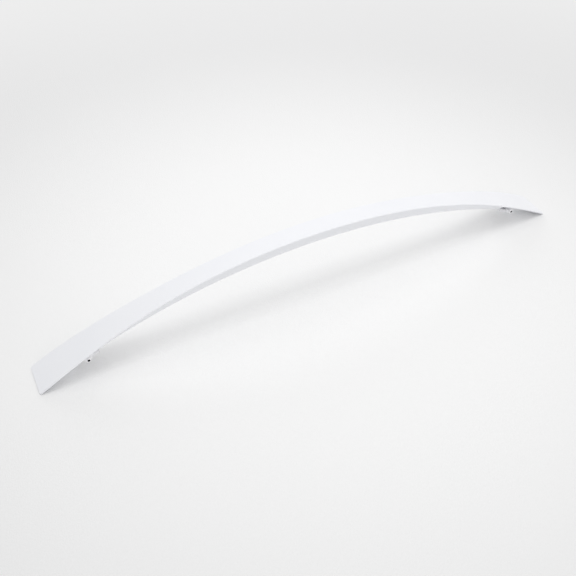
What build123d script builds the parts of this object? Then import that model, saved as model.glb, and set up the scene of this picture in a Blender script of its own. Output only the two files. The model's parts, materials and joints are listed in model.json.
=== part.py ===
from build123d import *
import os
from math import asin, cos, pi, sin, sqrt

# Refrigerator door handle, in millimetres. The door's face is the plane Z = 0 and the handle runs along X.
# The set screws face -Y. Everything is symmetric about the plane X = 0.

# Bow
handle_length = 570.0  # tip to tip
bow_rise = 74.0  # outer face at the middle above the tips
tip_height = 1.2  # upright end face of a tip
grip_width = 21.2  # outer face at the waist
end_width = 36.4  # outer face at a tip
flare_power = 2.3  # how late the waist opens towards the tips
grip_depth = 16.1  # outer face to belly at the middle
belly_end_depth = 11.5  # outer face to belly where the belly stops
belly_shoulder = 0.676  # pull of the belly's curve down its sides, in depths
belly_floor = 0.59  # pull of the belly's curve across its floor, in half widths
undercut = 1.2  # inward lean of the sides where the belly ends, upright at the middle
undercut_power = 4.0  # how late the sides begin to lean
lip_length = 62.0  # tip to the end of the belly
lip_thickness = 1.8
edge_break = 0.5  # along the outer face
tip_corner_radius = 3.0
tip_corner_relief = 0.1  # the corner's arc starts this far outside the sides
station_count = 15  # sections of the loft
tip_overrun = 8.0  # the loft runs past the tip before it is trimmed

# Mounts
mount_inset = 48.5  # tip to the axis of the door stud
mount_gap = 2.0  # end of the belly to the strap of the mount
strap_width = 20.0
strap_corner = 4.0
boss_radius = 4.4  # round boss about the set screw
boss_setback = 5.5  # front of the boss behind the edge of the lip
set_screw_drop = 4.3  # set screw's axis below the lip
socket_diameter = 15.0
socket_skirt = 5.0  # socket below the set screw's axis
socket_roof = 0.7  # stud hole above the set screw's axis
stud_diameter = 8.0
stud_clearance = 0.3
stud_mouth = 0.6  # lead-in of the stud hole

# Tongue of a mount, in the belly; the strap goes on from it, clear of the lip
tongue_length = 26.0
tongue_width = 10.0
tongue_thickness = 2.8
tongue_cover = 6.8  # bow above the tongue
tongue_corner = 3.0
seat_clearance = 0.15

# Fasteners
set_screw_diameter = 5.0
set_screw_length = 10.0
set_screw_key = 2.5  # across the flats
set_screw_key_depth = 3.0
set_screw_chamfer = 0.5
set_screw_retreat = 1.1  # backed off from the stud hole
mount_screw_diameter = 3.0
mount_screw_head = 5.6
mount_screw_head_height = 1.3
mount_screw_length = 7.6
mount_screw_first = 7.0  # end of the belly to the outer screw
mount_screw_pitch = 12.0
screw_clearance = 0.1

# Outer face: an arc of a circle about (0, arc_z)
half_length = handle_length / 2
arc_radius = (half_length**2 + bow_rise**2) / (2 * bow_rise)
arc_z = tip_height + bow_rise - arc_radius
belly_end = half_length - lip_length
stud_x = half_length - mount_inset
strap_reach = stud_x - belly_end  # end of the belly to the middle of the socket

# Belly: a flatter arc, set by its depth at the middle and at its end
middle_reach = arc_radius - grip_depth
end_reach = arc_radius - belly_end_depth
end_cosine = cos(asin(belly_end / arc_radius))
belly_shift = (end_reach**2 - middle_reach**2) / (2 * (middle_reach - end_reach * end_cosine))
belly_radius = middle_reach + belly_shift

lip_reach = arc_radius - lip_thickness
far_below = 4 * socket_diameter
across = 2 * end_width
full_height = 2 * (tip_height + bow_rise)


def half_width(x):
    share = min(abs(x) / half_length, 1.0)
    flare = sin(pi / 2 * share**flare_power) ** 2
    return (grip_width + (end_width - grip_width) * flare) / 2


def belly_depth(angle):
    reach = sqrt(belly_radius**2 - (belly_shift * sin(angle)) ** 2) - belly_shift * cos(angle)
    return arc_radius - reach


def lip_under(x):
    return arc_z + sqrt(lip_reach**2 - x**2)


def frame_on_arc(x):
    """Plane on the outer face: its x runs along the bow towards +X, its z points outwards."""
    angle = asin(x / arc_radius)
    origin = (x, 0, arc_z + arc_radius * cos(angle))
    return Plane(origin, x_dir=(cos(angle), 0, -sin(angle)), z_dir=(sin(angle), 0, cos(angle)))


def bow_section(angle):
    """Cross-section of the bow: flat outer face, broken edges and a rounded belly."""
    x = arc_radius * sin(angle)
    half = half_width(x)
    deep = belly_depth(angle) - edge_break
    side = belly_shoulder * deep
    lean = undercut * min(abs(x) / belly_end, 1.0) ** undercut_power
    flank = half - lean * side
    floor = belly_floor * half
    pull = 1.6 * deep - side / 2  # with this the curve's middle lies at the full depth
    flat = half - edge_break
    right = [(half, 0), (flank, -side), (floor, -pull)]
    left = [(-y, z) for y, z in reversed(right)]
    outline = [
        Line((-flat, 0), (flat, 0)),
        Line((flat, 0), (half, -edge_break)),
        Pos(Y=-edge_break) * Bezier(*right, *left),
        Line((-half, -edge_break), (-flat, 0)),
    ]
    along = frame_on_arc(x)
    return Plane(along.origin, x_dir=(0, 1, 0), z_dir=along.x_dir) * make_face(outline)


def cylinder_across(radius):
    return Pos(0, 0, arc_z) * Rot(90, 0, 0) * Cylinder(radius, across)


def space_beyond(x):
    """Everything from x outwards, at the right end."""
    return Pos(X=x + half_length) * Box(2 * half_length, across, 2 * full_height)


def tongue_outline(grow):
    """Tongue of the right mount, or its pocket when grown; x = 0 is the end of the belly."""
    end = tongue_length + grow
    bar = RectangleRounded(strap_reach + end, tongue_width + 2 * grow, tongue_corner + grow)
    return Pos(X=(strap_reach - end) / 2) * bar


def strap_outline():
    """Strap of the right mount, from the end of the belly past the boss."""
    end = strap_reach + boss_radius
    return Pos(X=end / 2) * RectangleRounded(end, strap_width, strap_corner)


def mount_screw_frames():
    """Where the right mount's screws enter the tongue, z pointing into the bow."""
    base = frame_on_arc(belly_end)
    depth = tongue_cover + tongue_thickness
    steps = {"outer": mount_screw_first, "inner": mount_screw_first + mount_screw_pitch}
    return {name: base * Pos(-step, 0, -depth) for name, step in steps.items()}


def mount_screw(grow):
    """Mount screw with a cheese head, or its hole when grown."""
    upwards = (Align.CENTER, Align.CENTER, Align.MIN)
    head = Cylinder(mount_screw_head / 2 + grow, mount_screw_head_height, align=upwards)
    shank = Cylinder(mount_screw_diameter / 2 + grow, mount_screw_length + grow, align=upwards)
    return head + shank


def make_bow():
    reach = asin((half_length + tip_overrun) / arc_radius)
    angles = [reach * (2 * step / (station_count - 1) - 1) for step in range(station_count)]
    bow = loft([bow_section(angle) for angle in angles])
    plan = RectangleRounded(handle_length, end_width + 2 * tip_corner_relief, tip_corner_radius)
    bow = bow & extrude(plan, full_height)
    pocket = frame_on_arc(belly_end) * Pos(Z=-tongue_cover + seat_clearance)
    cut = cylinder_across(lip_reach) & space_beyond(belly_end)
    cut = cut + extrude(pocket * tongue_outline(seat_clearance), -far_below)
    for place in mount_screw_frames().values():
        cut = cut + place * mount_screw(screw_clearance)
    return bow - cut - mirror(cut, about=Plane.YZ)


def make_mount():
    """Right mount: stud socket, boss for the set screw, strap and tongue, trimmed to the underside of the lip."""
    screw_z = lip_under(stud_x) - set_screw_drop
    foot = screw_z - socket_skirt
    upwards = (Align.CENTER, Align.CENTER, Align.MIN)
    socket = Pos(stud_x, 0, foot) * Cylinder(socket_diameter / 2, far_below, align=upwards)
    to_front = Pos(stud_x, 0, screw_z) * Rot(90, 0, 0)
    reach = half_width(stud_x) - boss_setback
    boss = to_front * Cylinder(boss_radius, reach, align=upwards)
    seat = frame_on_arc(belly_end) * Pos(Z=-tongue_cover)
    tongue = extrude(seat * tongue_outline(0), -tongue_thickness)
    strap = extrude(seat * strap_outline(), -tongue_thickness) & space_beyond(belly_end + mount_gap)
    mount = (socket + boss + tongue + strap) & cylinder_across(lip_reach - seat_clearance)
    bore = (stud_diameter + stud_clearance) / 2
    stud_hole = Pos(stud_x, 0, foot) * Cylinder(bore, socket_skirt + socket_roof, align=upwards)
    mouth = Pos(stud_x, 0, foot) * Cone(bore + stud_mouth, bore, stud_mouth, align=upwards)
    tapped = to_front * Cylinder((set_screw_diameter + screw_clearance) / 2, 2 * reach, align=upwards)
    mount = mount - stud_hole - mouth - tapped
    for place in mount_screw_frames().values():
        mount = mount - place * mount_screw(screw_clearance)
    return mount


def make_set_screw():
    """Right set screw, with its hexagon socket at -Y."""
    body = Cylinder(set_screw_diameter / 2, set_screw_length, align=(Align.CENTER, Align.CENTER, Align.MIN))
    body = chamfer(body.edges().sort_by(Axis.Z)[-1], set_screw_chamfer)
    key = RegularPolygon(set_screw_key / 2, 6, major_radius=False)
    socket = extrude(Pos(Z=set_screw_length) * key, -set_screw_key_depth)
    inner = (stud_diameter + stud_clearance) / 2 + set_screw_retreat
    place = Pos(stud_x, -inner, lip_under(stud_x) - set_screw_drop) * Rot(90, 0, 0)
    return place * (body - socket)


os.makedirs("parts", exist_ok=True)
right_pieces = {"mount_{}": make_mount(), "set_screw_{}": make_set_screw()}
for place_name, place in mount_screw_frames().items():
    right_pieces["mount_screw_{}_" + place_name] = place * mount_screw(0)

export_step(make_bow(), "parts/handle_bow.step")
for name, piece in right_pieces.items():
    export_step(piece, "parts/" + name.format("right") + ".step")
    export_step(mirror(piece, about=Plane.YZ), "parts/" + name.format("left") + ".step")
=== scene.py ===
import json
import math

import bmesh
import bpy
from mathutils import Matrix, Vector


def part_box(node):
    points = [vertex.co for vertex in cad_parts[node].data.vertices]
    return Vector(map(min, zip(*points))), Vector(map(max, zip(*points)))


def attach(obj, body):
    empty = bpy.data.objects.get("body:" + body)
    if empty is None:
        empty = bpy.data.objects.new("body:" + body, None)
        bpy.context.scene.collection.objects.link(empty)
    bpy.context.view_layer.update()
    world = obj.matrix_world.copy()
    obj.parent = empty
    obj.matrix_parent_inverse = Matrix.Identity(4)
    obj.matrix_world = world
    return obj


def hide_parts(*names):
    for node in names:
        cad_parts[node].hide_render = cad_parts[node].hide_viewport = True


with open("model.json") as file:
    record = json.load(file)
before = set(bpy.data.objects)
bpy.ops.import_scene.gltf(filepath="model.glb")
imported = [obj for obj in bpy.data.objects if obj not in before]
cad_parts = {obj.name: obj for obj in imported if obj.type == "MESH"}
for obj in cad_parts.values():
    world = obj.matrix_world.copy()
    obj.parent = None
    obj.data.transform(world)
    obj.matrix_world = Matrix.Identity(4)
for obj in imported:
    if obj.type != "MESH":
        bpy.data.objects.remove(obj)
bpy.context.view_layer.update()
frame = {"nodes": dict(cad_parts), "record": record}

scene = bpy.context.scene
scene.view_settings.view_transform = "Standard"
print("frame loaded:", len(frame["nodes"]), "nodes")


# Camera: turned about the upright, tipped down, at the distance that the bow's outline gives
cameraView = {
    "focalPixels": 757.2,
    "imagePixels": 576,
    "sensorWidth": 36.0,
    "clipStart": 0.01,
    "turn": 26.80,  # degrees
    "tip": 44.12,  # degrees
    "distance": 0.7747,
    "aimRight": 0.02656,  # the handle's middle stands this far right of the aim
    "aimUp": 0.00599,
    "aimHeight": 0.0012,
}


def makeCamera(view):
    turn = math.radians(view["turn"])
    tip = math.radians(view["tip"])
    right = Vector((math.cos(turn), -math.sin(turn), 0.0))
    ahead = Vector((math.sin(turn) * math.cos(tip), math.cos(turn) * math.cos(tip), -math.sin(tip)))
    up = right.cross(ahead)
    place = -view["aimRight"] * right - view["aimUp"] * up - view["distance"] * ahead
    place.z += view["aimHeight"]
    data = bpy.data.cameras.new("photoCamera")
    data.sensor_width = view["sensorWidth"]
    data.lens = view["focalPixels"] / view["imagePixels"] * view["sensorWidth"]
    data.clip_start = view["clipStart"]
    camera = bpy.data.objects.new("photoCamera", data)
    axes = Matrix((right, up, -ahead)).transposed()
    camera.matrix_world = Matrix.Translation(place) @ axes.to_4x4()
    scene.collection.objects.link(camera)
    scene.camera = camera


makeCamera(cameraView)
print("camera placed")


# Shader helpers
def newMaterial(name):
    material = bpy.data.materials.new(name)
    material.use_nodes = True
    tree = material.node_tree
    return material, tree, tree.nodes["Principled BSDF"]


def addNode(tree, kind, **values):
    node = tree.nodes.new(kind)
    for key, value in values.items():
        setattr(node, key, value)
    return node


def feed(tree, socket, source):
    if isinstance(source, bpy.types.NodeSocket):
        tree.links.new(source, socket)
    else:
        socket.default_value = source


def addMath(tree, operation, first, second=0.0):
    node = addNode(tree, "ShaderNodeMath", operation=operation)
    feed(tree, node.inputs[0], first)
    feed(tree, node.inputs[1], second)
    return node.outputs[0]


def addRange(tree, value, low, high, toLow, toHigh):
    node = addNode(tree, "ShaderNodeMapRange", interpolation_type="SMOOTHSTEP")
    for socket, source in zip(node.inputs, (value, low, high, toLow, toHigh)):
        feed(tree, socket, source)
    return node.outputs[0]


def addMix(tree, factor, first, second):
    node = addNode(tree, "ShaderNodeMix", data_type="RGBA")
    feed(tree, node.inputs["Factor"], factor)
    feed(tree, node.inputs[6], first)  # the first colour socket
    feed(tree, node.inputs[7], second)
    return node.outputs[2]


def addBump(tree, shader, height, depth):
    node = addNode(tree, "ShaderNodeBump")
    node.inputs["Distance"].default_value = depth
    feed(tree, node.inputs["Height"], height)
    feed(tree, shader.inputs["Normal"], node.outputs["Normal"])


def addPlace(tree):
    return addNode(tree, "ShaderNodeTexCoord").outputs["Object"]


def newGroup(name, inputs, outputs):
    group = bpy.data.node_groups.new(name, "ShaderNodeTree")
    for label in inputs:
        kind = "NodeSocketVector" if label == "Vector" else "NodeSocketFloat"
        group.interface.new_socket(label, in_out="INPUT", socket_type=kind)
    for label in outputs:
        group.interface.new_socket(label, in_out="OUTPUT", socket_type="NodeSocketFloat")
    return group, addNode(group, "NodeGroupInput").outputs, addNode(group, "NodeGroupOutput").inputs


def placeGroup(tree, group, **values):
    node = addNode(tree, "ShaderNodeGroup", node_tree=group)
    feed(tree, node.inputs["Vector"], addPlace(tree))
    for label, value in values.items():
        node.inputs[label].default_value = value
    return node.outputs


# Fine grain, broad clouds and sparse flecks, which the finishes share
grainShape = {
    "detail": {"Grain": 2.0, "Cloud": 3.0},
    "noiseRange": (0.3, 0.7),  # of the noise, spread over 0 to 1
    "fleckReach": 0.22,  # of a cell
}


def makeSurfaceGrain(values):
    inputs = ("Vector", "GrainScale", "CloudScale", "FleckScale")
    group, given, result = newGroup("surfaceGrain", inputs, ("Grain", "Cloud", "Fleck"))
    for label, detail in values["detail"].items():
        noise = addNode(group, "ShaderNodeTexNoise")
        noise.inputs["Detail"].default_value = detail
        feed(group, noise.inputs["Vector"], given["Vector"])
        feed(group, noise.inputs["Scale"], given[label + "Scale"])
        feed(group, result[label], addRange(group, noise.outputs[0], *values["noiseRange"], 0.0, 1.0))
    cells = addNode(group, "ShaderNodeTexVoronoi")
    feed(group, cells.inputs["Vector"], given["Vector"])
    feed(group, cells.inputs["Scale"], given["FleckScale"])
    fleck = addRange(group, cells.outputs["Distance"], 0.0, values["fleckReach"], 1.0, 0.0)
    feed(group, result["Fleck"], fleck)
    return group


# Rings of a turning tool about the set screws' axes, out to their reach
def makeTurningMarks():
    inputs = ("Vector", "AxisX", "AxisZ", "Pitch", "Reach")
    group, given, result = newGroup("turningMarks", inputs, ("Rings",))
    apart = addNode(group, "ShaderNodeSeparateXYZ")
    feed(group, apart.inputs[0], given["Vector"])
    across = addMath(group, "SUBTRACT", addMath(group, "ABSOLUTE", apart.outputs["X"]), given["AxisX"])
    above = addMath(group, "SUBTRACT", apart.outputs["Z"], given["AxisZ"])
    squares = [addMath(group, "POWER", side, 2.0) for side in (across, above)]
    radius = addMath(group, "SQRT", addMath(group, "ADD", *squares))
    turns = addMath(group, "DIVIDE", radius, given["Pitch"])
    wave = addMath(group, "SINE", addMath(group, "MULTIPLY", turns, math.tau))
    inside = addMath(group, "LESS_THAN", radius, given["Reach"])
    feed(group, result["Rings"], addMath(group, "MULTIPLY", wave, inside))
    return group


surfaceGrain = makeSurfaceGrain(grainShape)
turningMarks = makeTurningMarks()
screwLow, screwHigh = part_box("set_screw_right")
screwAxis = (Vector(screwLow) + Vector(screwHigh)) / 2
print("shared effects ready")


# Uses of the shared effects, with a finish's own values
def placeGrain(tree, values):
    return placeGroup(
        tree,
        surfaceGrain,
        GrainScale=values["grainScale"],
        CloudScale=values["cloudScale"],
        FleckScale=values["fleckScale"],
    )


def placeRings(tree, values):
    marks = placeGroup(
        tree,
        turningMarks,
        AxisX=screwAxis.x,
        AxisZ=screwAxis.z,
        Pitch=values["ringPitch"],
        Reach=values["ringReach"],
    )
    return marks["Rings"]


def addFleckedColour(tree, shader, grain, values):
    base = addMix(tree, grain["Cloud"], values["deepColour"], values["colour"])
    specks = addMath(tree, "MULTIPLY", grain["Fleck"], values["fleckShare"])
    feed(tree, shader.inputs["Base Color"], addMix(tree, specks, base, values["fleckColour"]))


# Floor and light
studio = {
    "floorRadius": 1.7,
    "floorSides": 256,
    "floorBright": (0.915, 0.915, 0.915, 1.0),  # painted pool of light: the floor is brightest under the handle
    "floorDim": (0.79, 0.79, 0.792, 1.0),  # painted light falloff: darker well away from it
    "floorNear": 0.13,
    "floorFar": 0.55,
    "floorGrainScale": 700.0,
    "floorCloudScale": 9.0,
    "floorGrainDepth": 0.00006,
    "floorRoughness": (0.86, 0.94),
    "floorGloss": 0.2,
    "worldStrength": 0.63,
    "backdropStrength": 0.86,  # as the camera and glossy surfaces see it
    "fadeNear": 0.45,  # the floor passes into the backdrop from here
    "fadeFar": 0.95,
    "lamps": {  # size, place and power
        "keyBox": (0.40, (0.0, 0.0, 1.30), 2.1),
        "softBox": (0.85, (0.50, 0.0, 1.30), 1.3),
        "rearBox": (0.85, (0.0, 0.45, 1.30), 1.7),
        "frontBox": (0.85, (0.0, -0.45, 1.30), 1.2),
        "backPanel": (1.20, (0.40, 1.70, 0.50), 8.0),
        "rightPanel": (1.20, (0.90, -1.20, 0.90), 2.1),
    },
    "screened": ("backPanel",),  # so low that the outer face would mirror it
}


def seenDirectly(tree):
    path = addNode(tree, "ShaderNodeLightPath").outputs
    seen = addMath(tree, "MAXIMUM", path["Is Camera Ray"], path["Is Glossy Ray"])
    return addMath(tree, "MAXIMUM", seen, path["Is Transmission Ray"])


def makeFloorPaper(values):
    material, tree, shader = newMaterial("floorPaper")
    grain = placeGroup(
        tree,
        surfaceGrain,
        GrainScale=values["floorGrainScale"],
        CloudScale=values["floorCloudScale"],
    )
    length = addNode(tree, "ShaderNodeVectorMath", operation="LENGTH")
    feed(tree, length.inputs[0], addPlace(tree))
    radius = length.outputs["Value"]
    # the floor's colour darkens with distance from the middle: a painted falloff of light, not a change in
    # the paper
    paintedPoolFade = addRange(tree, radius, values["floorNear"], values["floorFar"], 0.0, 1.0)
    feed(tree, shader.inputs["Base Color"], addMix(tree, paintedPoolFade, values["floorBright"], values["floorDim"]))
    roughness = addRange(tree, grain["Cloud"], 0.0, 1.0, *values["floorRoughness"])
    feed(tree, shader.inputs["Roughness"], roughness)
    shader.inputs["Specular IOR Level"].default_value = values["floorGloss"]
    addBump(tree, shader, grain["Grain"], values["floorGrainDepth"])
    fade = addRange(tree, radius, values["fadeNear"], values["fadeFar"], 0.0, 1.0)
    backdrop = addNode(tree, "ShaderNodeEmission")
    backdrop.inputs["Strength"].default_value = values["backdropStrength"]
    blend = addNode(tree, "ShaderNodeMixShader")
    feed(tree, blend.inputs[0], addMath(tree, "MULTIPLY", fade, seenDirectly(tree)))
    feed(tree, blend.inputs[1], shader.outputs[0])
    feed(tree, blend.inputs[2], backdrop.outputs[0])
    feed(tree, tree.nodes["Material Output"].inputs["Surface"], blend.outputs[0])
    return material


def makeFloor(values):
    mesh = bpy.data.meshes.new("floor")
    form = bmesh.new()
    bmesh.ops.create_circle(form, cap_ends=True, segments=values["floorSides"], radius=values["floorRadius"])
    form.to_mesh(mesh)
    form.free()
    mesh.materials.append(makeFloorPaper(values))
    floor = bpy.data.objects.new("floor", mesh)
    scene.collection.objects.link(floor)


def makeLight(values):
    world = bpy.data.worlds.new("studioWorld")
    world.use_nodes = True
    tree = world.node_tree
    back = tree.nodes["Background"]
    back.inputs["Color"].default_value = (1.0, 1.0, 1.0, 1.0)
    seen = seenDirectly(tree)
    strength = addRange(tree, seen, 0.0, 1.0, values["worldStrength"], values["backdropStrength"])
    feed(tree, back.inputs["Strength"], strength)
    scene.world = world
    for name, (size, place, power) in values["lamps"].items():
        data = bpy.data.lights.new(name, "AREA")
        data.shape = "SQUARE"
        data.size = size
        data.energy = power
        lamp = bpy.data.objects.new(name, data)
        lamp.location = place
        lamp.visible_glossy = name not in values["screened"]
        lamp.rotation_euler = (-Vector(place)).to_track_quat("-Z", "Y").to_euler()
        scene.collection.objects.link(lamp)


makeFloor(studio)
makeLight(studio)
print("studio lit")


# White moulded plastic of the bow: satin, with a fine orange peel
bowWhite = {
    "colour": (0.885, 0.893, 0.922, 1.0),
    "deepColour": (0.872, 0.882, 0.915, 1.0),
    "fleckColour": (0.80, 0.80, 0.815, 1.0),
    "fleckShare": 0.10,
    "grainScale": 850.0,
    "cloudScale": 14.0,
    "fleckScale": 260.0,
    "roughness": (0.31, 0.37),
    "peelDepth": 0.000012,
}


def makeBowWhite(values):
    material, tree, shader = newMaterial("bowWhite")
    grain = placeGrain(tree, values)
    addFleckedColour(tree, shader, grain, values)
    feed(tree, shader.inputs["Roughness"], addRange(tree, grain["Cloud"], 0.0, 1.0, *values["roughness"]))
    addBump(tree, shader, grain["Grain"], values["peelDepth"])
    return material


# Die-cast metal of the mounts: bright, lightly blasted, with a turned face round the set screw
castMetal = {
    "colour": (0.90, 0.90, 0.91, 1.0),
    "deepColour": (0.78, 0.78, 0.80, 1.0),
    "fleckColour": (0.55, 0.55, 0.57, 1.0),
    "fleckShare": 0.35,
    "grainScale": 1900.0,
    "cloudScale": 120.0,
    "fleckScale": 900.0,
    "roughness": (0.44, 0.60),
    "blastDepth": 0.000014,
    "ringPitch": 0.00022,
    "ringReach": 0.0044,
    "ringShare": 0.25,
}


def makeCastMetal(values):
    material, tree, shader = newMaterial("castMetal")
    grain = placeGrain(tree, values)
    addFleckedColour(tree, shader, grain, values)
    feed(tree, shader.inputs["Roughness"], addRange(tree, grain["Grain"], 0.0, 1.0, *values["roughness"]))
    shader.inputs["Metallic"].default_value = 1.0
    rings = addMath(tree, "MULTIPLY", placeRings(tree, values), values["ringShare"])
    addBump(tree, shader, addMath(tree, "ADD", grain["Grain"], rings), values["blastDepth"])
    return material


# Zinc-plated steel of the screws: bright, with turning marks; the inside of the key socket and cross recess
# is painted near black and dull as painted shade
screwSteel = {
    "colour": (0.94, 0.94, 0.95, 1.0),
    "deepColour": (0.84, 0.84, 0.86, 1.0),
    # painted shade colour for the inside of the key socket and cross recess
    "socketColour": (0.012, 0.012, 0.013, 1.0),
    "grainScale": 4200.0,
    "cloudScale": 420.0,
    "roughness": (0.36, 0.48),
    "socketRoughness": 0.7,
    "socketGloss": 0.12,
    "markDepth": 0.000012,
    "ringPitch": 0.00012,
    "ringReach": 0.0024,
}


def makeScrewSteel(values):
    material, tree, shader = newMaterial("screwSteel")
    grain = placeGroup(tree, surfaceGrain, GrainScale=values["grainScale"], CloudScale=values["cloudScale"])
    shade = addNode(tree, "ShaderNodeAttribute", attribute_name="socketShade").outputs["Fac"]
    base = addMix(tree, grain["Cloud"], values["deepColour"], values["colour"])
    # the socketShade attribute mixes in the painted shade colour inside the recesses
    feed(tree, shader.inputs["Base Color"], addMix(tree, shade, base, values["socketColour"]))
    plain = addRange(tree, grain["Grain"], 0.0, 1.0, *values["roughness"])
    dull = addMath(tree, "MULTIPLY", shade, values["socketRoughness"])
    feed(tree, shader.inputs["Roughness"], addMath(tree, "MAXIMUM", plain, dull))
    feed(tree, shader.inputs["Metallic"], addMath(tree, "SUBTRACT", 1.0, shade))
    shader.inputs["Specular IOR Level"].default_value = values["socketGloss"]
    height = addMath(tree, "ADD", grain["Grain"], placeRings(tree, values))
    addBump(tree, shader, height, values["markDepth"])
    return material


finishes = {
    "bow_white": makeBowWhite(bowWhite),
    "mount_metal": makeCastMetal(castMetal),
    "screw_steel": makeScrewSteel(screwSteel),
}
slotOfNode = {row["node"]: row["material_slot"] for row in frame["record"]["subparts"]}
for nodeName, slotName in slotOfNode.items():
    for slot in bpy.data.objects[nodeName].material_slots:
        slot.material = finishes[slotName]
print("finishes set")


# Steps that both kinds of screw share; a screw is made along Y with its driven end at -Y
screwShape = {
    "crestFlat": 0.125,  # of the pitch
    "rootFlat": 0.25,  # of the pitch
    "spareTurns": 2,  # cut off at the ends
    "mouthSegments": 2,
    "merge": 1e-6,
    "sharpAngle": 32.0,  # degrees
}


def cutEnds(form, reach, clear):
    for side in (-1, 1):
        geometry = form.verts[:] + form.edges[:] + form.faces[:]
        plane = Vector((0.0, side * reach, 0.0))
        bmesh.ops.bisect_plane(form, geom=geometry, plane_co=plane, plane_no=(0, side, 0), clear_outer=clear)


def mergeDoubles(form):
    bmesh.ops.remove_doubles(form, verts=form.verts[:], dist=screwShape["merge"])


def openEdges(form, side):
    return [edge for edge in form.edges if edge.is_boundary and edge.verts[0].co.y * side > 0]


def pullEdges(form, edges, scale, step):
    made = bmesh.ops.extrude_edge_only(form, edges=edges)["geom"]
    verts = [part for part in made if isinstance(part, bmesh.types.BMVert)]
    for vert in verts:
        vert.co.x *= scale
        vert.co.z *= scale
        vert.co.y += step
    return verts, [part for part in made if isinstance(part, bmesh.types.BMEdge) and part.is_boundary]


def closePoint(form, edges, step):
    verts = pullEdges(form, edges, 0.0, step)[0]
    bmesh.ops.pointmerge(form, verts=verts, merge_co=verts[0].co)


def threadForm(values, length):
    form = bmesh.new()
    form.verts.layers.float.new("socketShade")
    pitch = values["pitch"]
    turns = math.ceil(length / pitch) + screwShape["spareTurns"]
    rootFlat = screwShape["rootFlat"]
    flank = (1.0 - screwShape["crestFlat"] - rootFlat) / 2
    crest = values["radius"]
    root = crest - values["threadDepth"]
    start = -turns * pitch / 2
    outline = ((root, 0.0), (root, rootFlat), (crest, rootFlat + flank), (crest, 1.0 - flank), (root, 1.0))
    verts = [form.verts.new((radius, start + share * pitch, 0.0)) for radius, share in outline]
    edges = [form.edges.new(pair) for pair in zip(verts, verts[1:])]
    bmesh.ops.spin(
        form,
        geom=verts + edges,
        axis=(0, 1, 0),
        dvec=(0, pitch / values["sides"], 0),
        angle=math.tau * turns,
        steps=values["sides"] * turns,
    )
    mergeDoubles(form)
    cutEnds(form, length / 2, True)
    return form


def cutPocket(form, rim, corners, values):
    shade = form.verts.layers.float["socketShade"]
    level = rim[0].verts[0].co.y
    verts = [form.verts.new((x, level, z)) for x, z in corners]
    sides = [form.edges.new(pair) for pair in zip(verts, verts[1:] + verts[:1])]
    bmesh.ops.subdivide_edges(form, edges=sides, cuts=values["sides"] // len(corners) - 1)
    mouth = [edge for edge in form.edges if edge.is_wire]
    bmesh.ops.triangle_fill(form, edges=rim + mouth, use_beauty=True, normal=(0, -1, 0))
    paintedShadeVerts, edges = pullEdges(form, mouth, 1.0, values["pocketDark"])
    rest = values["pocketDepth"] - values["pocketDark"]
    deepVerts, edges = pullEdges(form, edges, values["pocketTaper"], rest)
    # the walls past the mouth get full painted shade, which the steel's colour turns near black
    for vert in paintedShadeVerts + deepVerts:
        vert[shade] = 1.0
    closePoint(form, edges, values["pocketPoint"])
    bmesh.ops.bevel(
        form,
        geom=mouth,
        offset=values["mouthBevel"],
        segments=screwShape["mouthSegments"],
        profile=0.5,
        affect="EDGES",
        material=-1,
    )


def finishScrew(form, nodeName, place):
    bmesh.ops.recalc_face_normals(form, faces=form.faces[:])
    bmesh.ops.transform(form, verts=form.verts[:], matrix=place)
    mesh = bpy.data.meshes.new(nodeName + "_detailed")
    form.to_mesh(mesh)
    form.free()
    mesh.polygons.foreach_set("use_smooth", [True] * len(mesh.polygons))
    mesh.set_sharp_from_angle(angle=math.radians(screwShape["sharpAngle"]))
    mesh.materials.append(finishes[slotOfNode[nodeName]])
    screw = bpy.data.objects.new(nodeName + "_detailed", mesh)
    scene.collection.objects.link(screw)
    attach(screw, "root")
    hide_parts(nodeName)
    print(screw.name, len(mesh.polygons), "faces")


# Set screws: a cut thread, chamfered ends, a hexagon socket in front and a cup point behind
setScrew = {
    "radius": 0.0025,
    "pitch": 0.0008,
    "threadDepth": 0.00043,
    "sides": 48,
    "chamfer": 0.0005,
    "key": 0.0025,  # across the flats
    "keySides": 6,
    "pocketDepth": 0.003,
    "pocketDark": 0.00008,  # depth at which the painted shade in the socket is full
    "pocketTaper": 1.0,
    "pocketPoint": 0.0006,  # drill point under the socket
    "mouthBevel": 0.00005,
    "cupRadius": 0.0013,
    "cupDepth": 0.0007,
}


def chamferEnds(form, values, length):
    half = length / 2
    cutEnds(form, half - values["chamfer"], False)
    for vert in form.verts:
        limit = values["radius"] - values["chamfer"] + half - abs(vert.co.y)
        radius = math.hypot(vert.co.x, vert.co.z)
        if radius > limit:
            vert.co.x *= limit / radius
            vert.co.z *= limit / radius
    mergeDoubles(form)


def keyCorners(values):
    sides = values["keySides"]
    reach = values["key"] / 2 / math.cos(math.pi / sides)
    turns = [math.tau * step / sides for step in range(sides)]
    return [(reach * math.cos(turn), reach * math.sin(turn)) for turn in turns]


def cutCup(form, values):
    inner = values["radius"] - values["chamfer"]
    edges = pullEdges(form, openEdges(form, 1), values["cupRadius"] / inner, 0.0)[1]
    closePoint(form, edges, -values["cupDepth"])


def makeSetScrew(nodeName, values):
    low, high = (Vector(corner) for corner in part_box(nodeName))
    length = high.y - low.y
    form = threadForm(values, length)
    chamferEnds(form, values, length)
    cutPocket(form, openEdges(form, -1), keyCorners(values), values)
    cutCup(form, values)
    finishScrew(form, nodeName, Matrix.Translation((low + high) / 2))


for nodeName in ("set_screw_left", "set_screw_right"):
    makeSetScrew(nodeName, setScrew)


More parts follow.
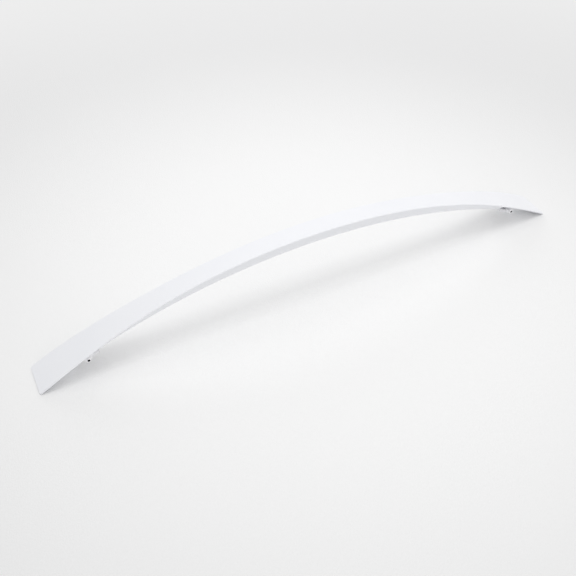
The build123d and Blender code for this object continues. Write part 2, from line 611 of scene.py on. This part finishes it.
# Mount screws: a cheese head with a cross recess, and a coarse thread in the bow
mountScrew = {
    "radius": 0.0015,
    "pitch": 0.0011,
    "threadDepth": 0.0004,
    "sides": 48,
    "length": 0.0076,
    "headRadius": 0.0028,
    "headHeight": 0.0013,
    "headBevel": 0.0002,
    "crossArm": 0.0004,  # half its width
    "crossReach": 0.0014,
    "pocketDepth": 0.0009,
    "pocketDark": 0.0003,  # depth at which the painted shade in the recess is full
    "pocketTaper": 0.75,
    "pocketPoint": 0.0001,
    "mouthBevel": 0.00005,
}


def crossCorners(values):
    arm = values["crossArm"]
    reach = values["crossReach"]
    quarter = [(arm, reach), (arm, arm), (reach, arm)]
    corners = []
    for turn in range(4):  # a quarter turn each
        corners += quarter
        quarter = [(z, -x) for x, z in quarter]
    return corners


def makeHead(form, neck, values):
    radius = values["headRadius"] - values["headBevel"]
    flat = Matrix.Rotation(math.pi / 2, 4, "X")
    rimVerts = bmesh.ops.create_circle(form, segments=values["sides"], radius=radius, matrix=flat)["verts"]
    rim = list({edge for vert in rimVerts for edge in vert.link_edges})
    edges = pullEdges(form, rim, values["headRadius"] / radius, values["headBevel"])[1]
    edges = pullEdges(form, edges, 1.0, values["headHeight"] - values["headBevel"])[1]
    bmesh.ops.triangle_fill(form, edges=edges + neck, use_beauty=True, normal=(0, 1, 0))
    cutPocket(form, rim, crossCorners(values), values)


def mountScrewPlace(nodeName, values):
    low, high = (Vector(corner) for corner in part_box(nodeName))
    side = 1 if low.x > 0 else -1
    end = nodeName.rsplit("_", 1)[0]
    innerLow, outerLow = (Vector(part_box(end + place)[0]) for place in ("_inner", "_outer"))
    along = (outerLow - innerLow).normalized()
    axis = Vector((-side * along.z, 0.0, side * along.x))
    headX = (low.x if side > 0 else high.x) + side * values["headRadius"] * axis.z
    headZ = low.z + values["headRadius"] * abs(axis.x)
    turn = Vector((0, 1, 0)).rotation_difference(axis)
    return Matrix.Translation((headX, 0.0, headZ)) @ turn.to_matrix().to_4x4()


def makeMountScrew(nodeName, values):
    shank = values["length"] - values["headHeight"]
    form = threadForm(values, shank)
    closePoint(form, openEdges(form, 1), 0.0)
    neck = openEdges(form, -1)
    bmesh.ops.translate(form, verts=form.verts[:], vec=(0, values["headHeight"] + shank / 2, 0))
    makeHead(form, neck, values)
    finishScrew(form, nodeName, mountScrewPlace(nodeName, values))


for nodeName in slotOfNode:
    if nodeName.startswith("mount_screw"):
        makeMountScrew(nodeName, mountScrew)
print("screws detailed")
